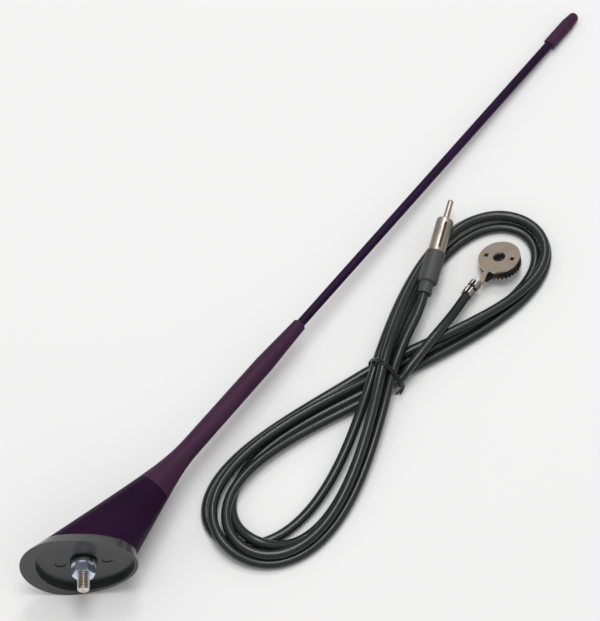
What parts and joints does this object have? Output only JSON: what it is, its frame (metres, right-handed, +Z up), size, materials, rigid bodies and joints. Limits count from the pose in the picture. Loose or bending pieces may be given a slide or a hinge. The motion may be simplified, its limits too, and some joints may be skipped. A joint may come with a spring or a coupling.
{
  "type": "car roof aerial",
  "caption": "Rod aerial for a car roof on a leaning flared base with a threaded stud, lying beside its tied cable that ends in an aerial plug and a toothed contact disc.",
  "frame": {"origin": "under the middle of the aerial without its cable, on the surface it lies on", "axes": "+Z up from that surface, +X from the foot towards the tip of the mast"},
  "size_m": [0.4267, 0.1043, 0.0489],
  "materials": {
    "base_shell": "satin dark purple moulding",
    "gasket": "matt grey rubber",
    "core_metal": "turned",
    "collar": "matt black",
    "stud_metal": "bright rolled thread",
    "washer_metal": "bright plated",
    "nut_metal": "zinc plated",
    "seal_rubber": "matt black",
    "rod_skin": "satin dark purple sheath",
    "grip_rubber": "satin plum rubber",
    "cable_jacket": "semi-gloss black sheath",
    "tie_plastic": "matt black",
    "boot_rubber": "matt dark grey",
    "plug_nickel": "nickel plated",
    "plug_bush": "natural moulding",
    "claw_metal": "blackened steel",
    "disc_plastic": "matt black",
    "disc_metal": "stamped, plated",
    "crimp_metal": "stamped, plated"
  },
  "bodies": {
    "base": {"base_housing": "base_shell", "foot_gasket": "gasket", "feed_core": "core_metal", "stud_collar": "collar", "mounting_stud": "stud_metal", "lead_hank": "cable_jacket", "cable_tie": "tie_plastic", "plug_tail": "cable_jacket", "disc_tail": "cable_jacket", "plug_boot": "boot_rubber", "plug_shell": "plug_nickel", "plug_insulator": "plug_bush", "plug_pin": "plug_nickel", "claw_ring": "claw_metal", "contact_insulator": "disc_plastic", "contact_plate": "disc_metal", "crimp_ferrule": "crimp_metal"},
    "seal": {"seam_seal": "seal_rubber"},
    "mast": {"mast_ferrule": "core_metal", "whip_rod": "rod_skin", "grip_sleeve": "grip_rubber", "tip_cap": "grip_rubber"},
    "washer": {"spring_washer": "washer_metal"},
    "nut": {"hex_nut": "nut_metal"}
  },
  "joints": [
    {"name": "mast_lift", "type": "slide", "parent": "base", "child": "seal", "axis": [0.9984, 0, -0.0557], "range_m": [0, 0.008]},
    {"name": "mast_turn", "type": "hinge", "parent": "seal", "child": "mast", "pos_m": [-0.14193, -0.00196, 0.02264], "axis": [0.9984, 0, -0.0557], "range_deg": [0, 3600]},
    {"name": "nut_travel", "type": "slide", "parent": "base", "child": "washer", "axis": [-0.7583, -0.6265, 0.1802], "range_m": [0, 0.008]},
    {"name": "nut_turn", "type": "hinge", "parent": "washer", "child": "nut", "pos_m": [-0.20036, -0.00726, 0.02707], "axis": [-0.7583, -0.6265, 0.1802], "range_deg": [0, 2880]}
  ],
  "couplings": [
    {"joint": "mast_turn", "follows": "mast_lift", "rad_per_m": 7854},
    {"joint": "nut_turn", "follows": "nut_travel", "rad_per_m": 6283.2}
  ]
}
